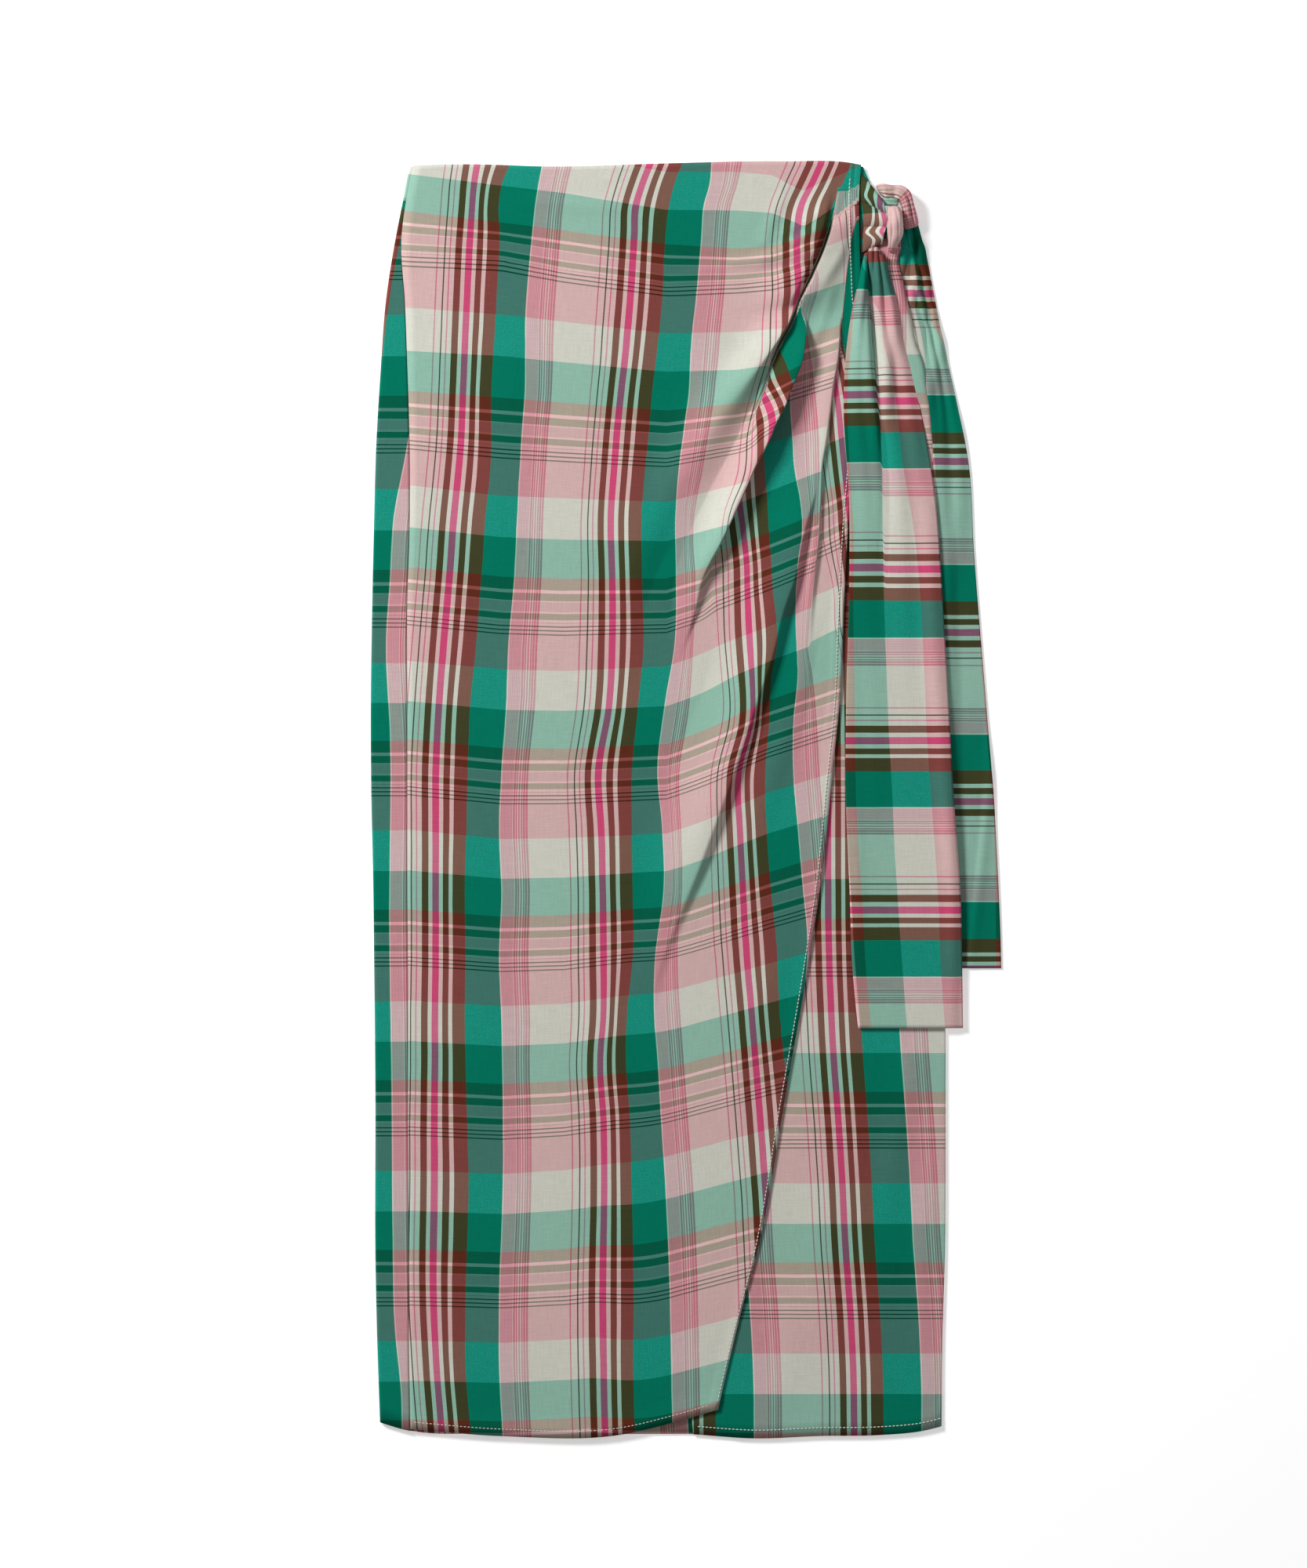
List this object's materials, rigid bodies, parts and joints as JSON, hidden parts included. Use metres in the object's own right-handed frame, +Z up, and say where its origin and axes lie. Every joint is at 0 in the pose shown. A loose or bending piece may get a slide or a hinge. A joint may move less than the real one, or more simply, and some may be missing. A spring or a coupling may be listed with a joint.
{
  "type": "wrap skirt",
  "caption": "Midi wrap skirt in checked cotton, laid flat, with an overlapping front and ties knotted at one hip.",
  "frame": {"origin": "on the surface the skirt lies on, under the middle of its outline", "axes": "+X towards the side with the knot, +Y from hem to waist, +Z up out of the cloth"},
  "size_m": [0.4458, 0.9029, 0.0205],
  "materials": {
    "front_cloth": "yarn-dyed plain weave cotton in a large check of green, cream, pink and brown, soft and matt",
    "under_cloth": "the same checked cotton",
    "back_cloth": "the same checked cotton",
    "tie_cloth": "the same checked cotton, cut crosswise"
  },
  "bodies": {
    "root": {"back_panel": "back_cloth", "under_front": "under_cloth", "over_front": "front_cloth", "tie_base": "tie_cloth", "knot_wrap": "tie_cloth", "knot_loop": "tie_cloth", "knot_inner": "tie_cloth", "tail_front": "tie_cloth", "tail_back": "tie_cloth"}
  },
  "joints": []
}
